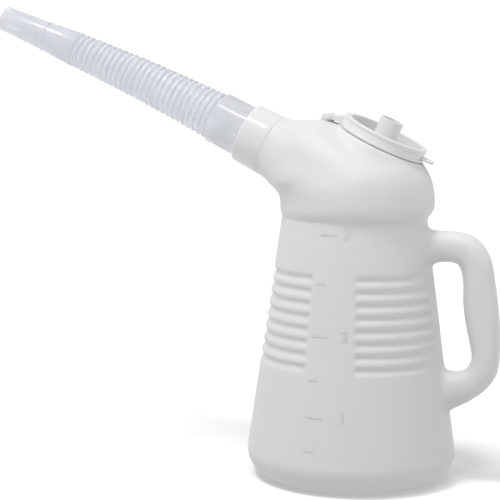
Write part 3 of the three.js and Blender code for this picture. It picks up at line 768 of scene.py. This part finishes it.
def make_hose():
    """Flange, cuff, bellows, taper, ring and tip, as one thin wall."""
    flange = NECK_TUBE_RADIUS - FIT_GAP
    cuff_end = COLLAR_LENGTH + CUFF_LENGTH
    bellows_end = cuff_end + BELLOWS_COUNT * BELLOWS_PITCH
    ring = bellows_end + TAPER_LENGTH
    tip = ring + TIP_LENGTH
    outside = [(flange, FLANGE_START), (flange, FLANGE_END), (CUFF_RADIUS, FLANGE_END)]
    outside += [(CUFF_RADIUS, cuff_end - 3.2)]
    outside += arc((CUFF_RADIUS - 0.8, cuff_end - 2.2), 0.8, 0, 80, 4)
    outside += bellows_wave(0)
    outside += [(BELLOWS_END_RADIUS - 0.2, bellows_end + 1.6)]
    outside += [(BELLOWS_END_RADIUS, bellows_end + 3)]
    outside += [(TAPER_END_RADIUS + 0.2, ring - RING_LENGTH - 0.6)]
    outside += arc((RING_RADIUS - 0.8, ring - RING_LENGTH / 2), 0.8, -70, 70, 6)
    outside += [(TAPER_END_RADIUS, ring + 0.6), (TIP_RADIUS + 0.1, tip - 0.5)]
    outside += [(TIP_RADIUS - 0.1, tip - 0.1), (TIP_RADIUS - 0.5, tip)]
    inside = [(CUFF_RADIUS - HOSE_WALL, FLANGE_START), (CUFF_RADIUS - HOSE_WALL, cuff_end - 3)]
    inside += bellows_wave(HOSE_WALL)
    inside += [(BELLOWS_END_RADIUS - HOSE_WALL, bellows_end + 3)]
    inside += [(TAPER_END_RADIUS - HOSE_WALL, ring), (TIP_RADIUS - HOSE_WALL + 0.1, tip - 0.4)]
    inside += [(TIP_RADIUS - HOSE_WALL + 0.3, tip)]
    profile = outside + inside[::-1] + [outside[0]]
    piece = turned_piece("hose", profile, 72, Matrix.Identity(4))
    droop(piece)
    piece.data.transform(SPOUT_FRAME)
    return finish_piece(piece, 60)


hose = make_hose()
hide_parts("spout_hose")
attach(hose, "jug")

# %% [markdown]
# ## Lid
# The lid is one moulding: a skirt that closes over the mouth's ring, a dish with a cup-shaped knob
# in its middle, a thumb tab at the low side and two ears at the high side that hold the pin.

# %% Lid
LID_WALL = 1.3
LID_FIT = 0.4
DISH_DEPTH = 8.0
DISH_TAPER = 2.2
DISH_EDGE = 30.6
DISH_ROUND = 0.6
KNOB_RADIUS = 9.3
KNOB_FOOT = 10.2
KNOB_RISE = 10.0
KNOB_WALL = 1.4
TAB_REACH = 8.8
TAB_WIDTH = 12.0
TAB_THICKNESS = 2.0
TAB_DROP = 7.2
EAR_RADIUS = 2.7
EAR_IN = 2.85
EAR_OUT = 5.85


def lid_dish():
    """Skirt, rim, dish and knob, turned round the lid's axis."""
    skirt = MOUTH_BORE + MOUTH_WALL + LID_FIT
    dish = MOUTH_BORE - LID_FIT
    inner = dish - LID_WALL
    knob = KNOB_RADIUS - KNOB_WALL
    floor = -DISH_DEPTH
    foot = dish - DISH_TAPER
    profile = [(0, floor - LID_WALL), (foot - 1.2, floor - LID_WALL)]
    profile += arc((foot - 1.2, floor - 0.1), 1.2, -90, 0, 5)
    profile += [(dish, -LID_WALL - 0.4), (dish + 0.4, -LID_WALL), (skirt - 0.4, -LID_WALL)]
    profile += [(skirt, -LID_WALL - 0.4), (skirt, -LID_HEIGHT + 0.2), (skirt + 0.2, -LID_HEIGHT)]
    profile += arc((LID_RADIUS - 0.1, -LID_HEIGHT + 0.55), 0.5, -80, 0, 5)
    profile += arc((LID_RADIUS - 0.1, -LID_HEIGHT + 1.7), 0.5, 0, 80, 5)
    profile += [(LID_RADIUS - 0.35, -LID_HEIGHT + 2.7), (LID_RADIUS - 0.35, -3.0)]
    profile += arc((LID_RADIUS - 0.9, -2.0), 0.9, -60, 0, 4)
    profile += arc((LID_RADIUS - 0.9, -0.9), 0.9, 0, 90, 7)
    profile += arc((inner + DISH_ROUND, -DISH_ROUND), DISH_ROUND, 90, 180, 5)
    profile += arc((inner - DISH_TAPER - 1.6, floor + 1.6), 1.6, 0, -90, 7)
    profile += arc((KNOB_FOOT, floor + 1.0), 1.0, -90, -170, 6)
    profile += arc((KNOB_RADIUS - 0.5, KNOB_RISE - 0.5), 0.5, 0, 90, 5)
    profile += arc((knob + 0.4, KNOB_RISE - 0.4), 0.4, 90, 180, 4)
    profile += arc((knob - 1.6, floor + 1.2), 1.2, 0, -90, 5)
    profile += [(0, floor)]
    return turned_piece("lid_moulding", profile, 144, MOUTH_FRAME)


def hinge_arm(low, high, with_ear):
    """An ear round the pin, or the bridge between the ears."""
    x, _, z = PIVOT
    root_top = mouth_point(-LID_RADIUS + 1.2, 2.6)
    root_low = mouth_point(-LID_RADIUS + 1.2, LID_HEIGHT - 0.5)
    shoulder = (x + EAR_RADIUS + 3, z + EAR_RADIUS - 1.6)
    if with_ear:
        outline = [root_low, root_top, shoulder]
        outline += arc((x, z), EAR_RADIUS, 38, 270, 16)
        outline += [(x + EAR_RADIUS + 1, z - EAR_RADIUS + 0.2)]
    else:
        bridge = x + EAR_RADIUS + 0.75
        outline = [root_low, root_top, shoulder, (bridge, z), (bridge, z - EAR_RADIUS + 0.2)]
    piece = flat_plate("arm", outline, low, high, Matrix.Identity(4), 0.4)
    if with_ear:
        cut_eye(piece)
    return piece


def thumb_tab():
    """The tab at the low side of the lid, with round corners."""
    end, half, corner = LID_RADIUS + TAB_REACH, TAB_WIDTH / 2, 5.0
    outline = [(LID_RADIUS - 0.9, -half)]
    outline += arc((end - corner, -half + corner), corner, -90, 0, 8)
    outline += arc((end - corner, half - corner), corner, 0, 90, 8)
    outline += [(LID_RADIUS - 0.9, half)]
    flat = Matrix.Rotation(math.pi / 2, 4, "X")
    return flat_plate("tab", outline, TAB_DROP - TAB_THICKNESS, TAB_DROP,
                      MOUTH_FRAME @ flat.inverted(), 0.6)


def make_lid():
    """The whole moulding."""
    piece = lid_dish()
    combine(piece, thumb_tab(), "UNION")
    combine(piece, hinge_arm(-EAR_OUT, -EAR_IN, True), "UNION")
    combine(piece, hinge_arm(EAR_IN, EAR_OUT, True), "UNION")
    combine(piece, hinge_arm(-EAR_IN - 0.5, EAR_IN + 0.5, False), "UNION")
    return finish_piece(piece, 35)


lid = make_lid()
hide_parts("lid")
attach(lid, "lid")

# %% [markdown]
# The pin runs through the lug and both ears, and its flat heads keep it in. It turns with the lid.

# %% Hinge pin
HEAD_RADIUS = 2.2
SHANK_RADIUS = 1.4


def make_pin():
    """Pin with domed heads."""
    half = EAR_OUT + 0.3
    side = [(SHANK_RADIUS, half), (HEAD_RADIUS, half), (HEAD_RADIUS, half + 0.4),
            (HEAD_RADIUS - 0.5, half + 0.75), (0.9, half + 0.88), (0, half + 0.9)]
    profile = [(r, -y) for r, y in side[::-1]] + side
    lie = Matrix.Translation(PIVOT) @ Matrix.Rotation(math.pi / 2, 4, "X")
    return finish_piece(turned_piece("pin", profile, 32, lie), 35)


pin = make_pin()
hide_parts("hinge_pin")
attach(pin, "lid")

# %% [markdown]
# ## Finishes
# Every pattern is a formula of noise and of places on the object. A wire stands for a socket, so
# that such a formula can be written with plain operators, and one method adds every node.

# %% Shader maths
class Wire:
    """A socket in a material, on which Python operators add Math nodes."""

    def __init__(self, sheet, socket):
        self.sheet = sheet
        self.socket = socket

    def _math(self, operation, other, swap=False):
        pair = (other, self) if swap else (self, other)
        return self.sheet.node("ShaderNodeMath", {"operation": operation}, {0: pair[0], 1: pair[1]})

    def __add__(self, other):
        return self._math("ADD", other)

    def __radd__(self, other):
        return self._math("ADD", other, True)

    def __sub__(self, other):
        return self._math("SUBTRACT", other)

    def __rsub__(self, other):
        return self._math("SUBTRACT", other, True)

    def __mul__(self, other):
        return self._math("MULTIPLY", other)

    def __rmul__(self, other):
        return self._math("MULTIPLY", other, True)

    def __abs__(self):
        return self.sheet.node("ShaderNodeMath", {"operation": "ABSOLUTE"}, {0: self})

    def below(self, limit):
        """One where the value is under the limit."""
        return self._math("LESS_THAN", limit)


class Finish:
    """A material whose nodes are added by one method."""

    def __init__(self, name, **constants):
        self.material = bpy.data.materials.new(name)
        self.material.use_nodes = True
        self.tree = self.material.node_tree
        self.shader = self.tree.nodes["Principled BSDF"]
        for socket, value in constants.items():
            self.shader.inputs[socket.replace("_", " ")].default_value = value

    def node(self, kind, settings, inputs, output=0):
        """Add a node, set its settings first, then its values and links."""
        node = self.tree.nodes.new(kind)
        for setting, value in settings.items():
            if setting == "stops":
                ramp = node.color_ramp
                for i, (place, colour) in enumerate(value):
                    stop = ramp.elements[i] if i < 2 else ramp.elements.new(place)
                    stop.position, stop.color = place, colour
            else:
                setattr(node, setting, value)
        for key, value in inputs.items():
            if isinstance(value, Wire):
                self.tree.links.new(value.socket, node.inputs[key])
            else:
                node.inputs[key].default_value = value
        return Wire(self, node.outputs[output])

    def place(self):
        """Object coordinates."""
        return self.node("ShaderNodeTexCoord", {}, {}, "Object")

    def axis(self, letter):
        """One of the object coordinates."""
        return self.node("ShaderNodeSeparateXYZ", {}, {0: self.place()}, letter)

    def noise(self, scale, detail=2.0):
        """Noise over the object."""
        return self.node("ShaderNodeTexNoise", {}, {"Vector": self.place(), "Scale": scale,
                                                    "Detail": detail})

    def colours(self, value, stops):
        """A colour from a value."""
        return self.node("ShaderNodeValToRGB", {"stops": stops}, {"Fac": value})

    def feed(self, socket, wire):
        """Link a wire to a socket of the shader."""
        self.tree.links.new(wire.socket, self.shader.inputs[socket])

    def bump(self, height, strength, distance):
        """Bump from a height."""
        wire = self.node("ShaderNodeBump", {}, {"Height": height, "Strength": strength,
                                                "Distance": distance})
        self.feed("Normal", wire)

    def wear(self, piece):
        """Give the finish to a piece."""
        piece.data.materials.clear()
        piece.data.materials.append(self.material)


# %% [markdown]
# Natural polyethylene is milky: light goes in and comes out softly, the skin is matt with a fine
# orange-peel grain, and a thin seam shows where the mould's halves met. The lid is the same kind
# of plastic from a polished mould, and the hose is clearer and glossier.

# %% Plastics
SEAM_HALF_WIDTH = 0.35
VALLEY_WIDTH = 0.14


def natural_plastic(name, dark, light):
    """Milky matt skin with orange-peel grain and the mould's seam, darker low down by painted
    shade.
    """
    finish = Finish(name, Roughness=0.5, IOR=1.5, Subsurface_Weight=0.6,
                    Subsurface_Radius=(1.0, 0.97, 0.9), Subsurface_Scale=0.004)
    # Painted shade: the colour darkens towards the foot and lightens towards the crown, as light
    # falls from above; the noise is the plastic's own cloudy tone.
    mottle_and_painted_shade = 0.35 * finish.noise(9.0, 3.0) + 3.2 * finish.axis("Z")
    finish.feed("Base Color", finish.colours(mottle_and_painted_shade, [(0.0, dark), (0.9, light)]))
    grain = finish.noise(900.0, 2.0)
    seam = abs(finish.axis("Y")).below(SEAM_HALF_WIDTH * MM)
    finish.feed("Roughness", 0.46 + 0.1 * finish.noise(300.0))
    finish.bump(grain + 1.4 * seam, 0.25, 0.0003)
    return finish


def lid_plastic():
    """Smooth moulded plastic, darkened in the dish by painted shade, whose thin wall lets light
    into the jug.
    """
    finish = Finish("lid_plastic", Roughness=0.2, IOR=1.5)
    tilt = math.radians(MOUTH_TILT)
    x = finish.axis("X") - MOUTH_PLACE[0] * MM
    y = finish.axis("Y")
    z = finish.axis("Z") - MOUTH_PLACE[2] * MM
    height = x * math.sin(tilt) + z * math.cos(tilt)
    along = x * math.cos(tilt) - z * math.sin(tilt)
    reach = finish.node("ShaderNodeMath", {"operation": "SQRT"}, {0: along * along + y * y})
    # Painted shade: the colour is darker inside the dish, where little light reaches.
    painted_shade_bowl = reach.below(DISH_EDGE * MM) * (1 - reach.below(KNOB_FOOT * MM))
    dish = painted_shade_bowl * height.below(-DISH_ROUND * MM)
    mottle_and_painted_shade = 0.15 * finish.noise(14.0, 2.0) + 0.8 * (1 - dish)
    finish.feed("Base Color", finish.colours(mottle_and_painted_shade, [(0.05, (0.66, 0.66, 0.655, 1)),
                                                    (0.85, (0.79, 0.79, 0.805, 1))]))
    finish.feed("Roughness", 0.14 + 0.1 * finish.noise(120.0))
    finish.bump(finish.noise(160.0, 2.0), 0.12, 0.0003)
    return finish


def hose_plastic():
    """Clear bluish plastic, with painted glowing lines at the valleys for the light that runs along
    its wall and comes out there.
    """
    finish = Finish("hose_plastic", Roughness=0.2, IOR=1.12, Transmission_Weight=0.6,
                    Coat_Weight=0.7, Coat_Roughness=0.16, Emission_Strength=1.0)
    cloud = finish.noise(40.0, 2.0)
    finish.feed("Base Color", finish.colours(cloud, [(0.3, (0.91, 0.93, 0.965, 1)),
                                                     (0.7, (0.94, 0.955, 0.985, 1))]))
    finish.feed("Roughness", 0.12 + 0.08 * finish.noise(200.0))
    finish.bump(finish.noise(120.0, 1.0), 0.1, 0.0003)
    slope = math.radians(SPOUT_SLOPE)
    start = (COLLAR_LENGTH + CUFF_LENGTH) * MM
    bend = math.radians(HOSE_DROOP)
    radius = BELLOWS_COUNT * BELLOWS_PITCH * MM / bend
    x = finish.axis("X") - SPOUT_PLACE[0] * MM
    z = finish.axis("Z") - SPOUT_PLACE[2] * MM
    along = z * math.sin(slope) - x * math.cos(slope)
    aside = z * math.cos(slope) + x * math.sin(slope)
    turn = finish.node("ShaderNodeMath", {"operation": "ARCTAN2"},
                       {0: along - start, 1: aside + radius})
    wave = turn * (BELLOWS_COUNT / bend)
    away = abs(finish.node("ShaderNodeMath", {"operation": "FRACT"}, {0: wave + 0.5}) - 0.5)
    inside = abs(wave - BELLOWS_COUNT / 2).below(BELLOWS_COUNT / 2 + 0.5)
    crest = finish.node("ShaderNodeMapRange", {}, {"Value": away, "From Max": VALLEY_WIDTH})
    # Painted light: an emission that draws thin bright lines at the valleys of the bellows.
    painted_valley_glow = (1 - crest) * inside
    finish.feed("Emission Color", finish.colours(painted_valley_glow, [(0.0, (0, 0, 0, 1)),
                                                        (1.0, (0.16, 0.165, 0.175, 1))]))
    return finish


def packing_rubber():
    """Dark soft rubber."""
    finish = Finish("packing_rubber", Roughness=0.8)
    finish.feed("Base Color", finish.colours(finish.noise(200.0), [(0.3, (0.03, 0.03, 0.03, 1)),
                                                                   (0.7, (0.06, 0.06, 0.06, 1))]))
    finish.bump(finish.noise(1500.0), 0.3, 0.0002)
    return finish


# %% [markdown]
# The marks wear a lighter copy of the shell's plastic, a painted highlight for the light that their
# fine edges catch. The lid, its pin and the collar come from one batch.

# %% Give out the finishes
natural_plastic("natural_plastic", (0.66, 0.66, 0.64, 1), (0.765, 0.765, 0.755, 1)).wear(shell)
# Painted highlight: the marks' colours are lighter than the shell's own.
natural_plastic("mark_plastic_painted_highlight", (0.74, 0.74, 0.73, 1), (0.84, 0.84, 0.84, 1)).wear(marks)
lid_finish = lid_plastic()
for piece in (lid, pin, collar):
    lid_finish.wear(piece)
hose_plastic().wear(hose)
packing_rubber().wear(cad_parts["spout_packing"])

# %% [markdown]
# ## Studio
# The photograph has one large soft light above and a little to the left, and a white room. A far
# lamp stands for that light, and a smaller one draws the bright line along the hose. The camera
# sees the sky as white, while the sky that lights the jug is dimmer, so that the forms keep their
# shade. The floor takes shadows but throws no light back on the jug.

# %% Studio
FLOOR_SIZE = 60.0
FLOOR_COLOUR = (0.97, 0.97, 0.97, 1)
SKY_SEEN = 1.15
SKY_LIGHT = 0.7
SKY_THROUGH = 0.68
KEY_FROM = (-0.22, -0.3, 0.93)
KEY_SPREAD = 16.0
KEY_POWER = 1.27
GLOSS_FROM = (0.12, -0.451, 0.884)
GLOSS_SPREAD = 10.0
GLOSS_POWER = 0.3


def far_lamp(name, source, spread, power):
    """A distant lamp as wide as a soft box, so that the floor is lit evenly."""
    data = bpy.data.lights.new(name, "SUN")
    data.energy = power
    data.angle = math.radians(spread)
    light = bpy.data.objects.new(name, data)
    bpy.context.collection.objects.link(light)
    light.rotation_euler = Vector(source).to_track_quat("Z", "Y").to_euler()


def white_sky():
    """A sky that is white to the camera, and dimmer as a light and through the clear hose."""
    world = bpy.data.worlds.new("sky")
    world.use_nodes = True
    nodes, links = world.node_tree.nodes, world.node_tree.links
    path = nodes.new("ShaderNodeLightPath")

    def raised(ray, strength):
        """The sky's strength for one kind of ray, over its strength as a light."""
        step = nodes.new("ShaderNodeMath")
        step.operation = "MULTIPLY_ADD"
        links.new(path.outputs[ray], step.inputs[0])
        step.inputs[1].default_value = strength - SKY_LIGHT
        return step

    seen = raised("Is Camera Ray", SKY_SEEN)
    seen.inputs[2].default_value = SKY_LIGHT
    through = raised("Is Transmission Ray", SKY_THROUGH)
    links.new(seen.outputs[0], through.inputs[2])
    background = nodes["Background"]
    background.inputs["Color"].default_value = (1, 1, 1, 1)
    links.new(through.outputs[0], background.inputs["Strength"])
    bpy.context.scene.world = world


def make_studio():
    """Floor, light, sky and a plain film."""
    bpy.ops.mesh.primitive_plane_add(size=FLOOR_SIZE, location=(0, 0, 0))
    floor = bpy.context.active_object
    floor.name = "floor"
    paint = Finish("floor", Roughness=0.9, Base_Color=FLOOR_COLOUR)
    paint.wear(floor)
    floor.visible_diffuse = False
    far_lamp("key", KEY_FROM, KEY_SPREAD, KEY_POWER)
    far_lamp("gloss", GLOSS_FROM, GLOSS_SPREAD, GLOSS_POWER)
    white_sky()
    bpy.context.scene.view_settings.view_transform = "Standard"


make_studio()
